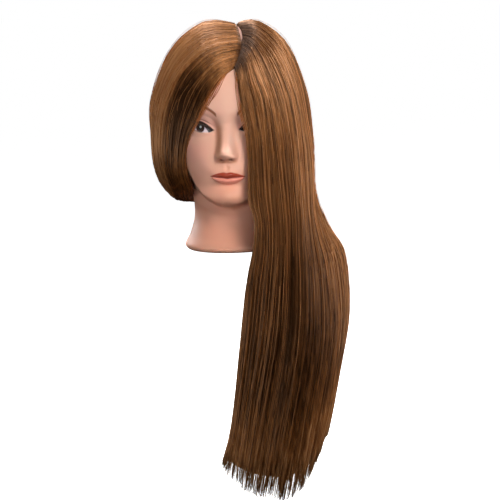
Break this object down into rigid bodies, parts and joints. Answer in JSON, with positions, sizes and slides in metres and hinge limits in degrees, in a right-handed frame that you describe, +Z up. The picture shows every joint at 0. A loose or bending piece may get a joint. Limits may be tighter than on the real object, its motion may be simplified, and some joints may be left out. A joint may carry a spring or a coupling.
{
  "type": "mannequin training head",
  "caption": "Hairdressing practice head with a painted vinyl face and very long straight implanted hair swept over one side; a blind bore in the neck base takes a clamp peg.",
  "frame": {"origin": "centre of the neck socket's mouth, in the plane of the neck base", "axes": "+Z up the socket towards the crown, the face looks towards -Y, +X is the mannequin's left side"},
  "size_m": [0.2339, 0.2192, 0.57],
  "materials": {
    "skin_vinyl": "soft satin vinyl with painted make-up",
    "core_foam": "rigid open foam",
    "root_coat": "cured latex coat",
    "socket_plastic": "moulded, matt",
    "disc_plastic": "moulded, matt",
    "lash_fibre": "fine dark fibre",
    "hair": "straight medium brown hair, soft sheen"
  },
  "bodies": {
    "head": {"head_skin": "skin_vinyl", "foam_core": "core_foam", "root_lock_coat": "root_coat", "neck_socket": "socket_plastic", "base_disc": "disc_plastic", "lash_strip_right": "lash_fibre", "lash_strip_left": "lash_fibre", "hair_front_right": "hair", "hair_side_right": "hair", "hair_back_right": "hair", "hair_nape_right": "hair", "hair_crown": "hair", "hair_front_left": "hair", "hair_side_left": "hair", "hair_back_left": "hair", "hair_nape_left": "hair", "sweep_side_left": "hair", "sweep_back_left": "hair", "sweep_nape": "hair"},
    "hair_lengths": {"lengths_front": "hair", "lengths_side": "hair", "lengths_back": "hair"}
  },
  "joints": [
    {"name": "hair_sway", "type": "hinge", "parent": "head", "child": "hair_lengths", "pos_m": [0.058, -0.025, 0.06], "axis": [0, -1, 0], "range_deg": [-12, 20]}
  ]
}
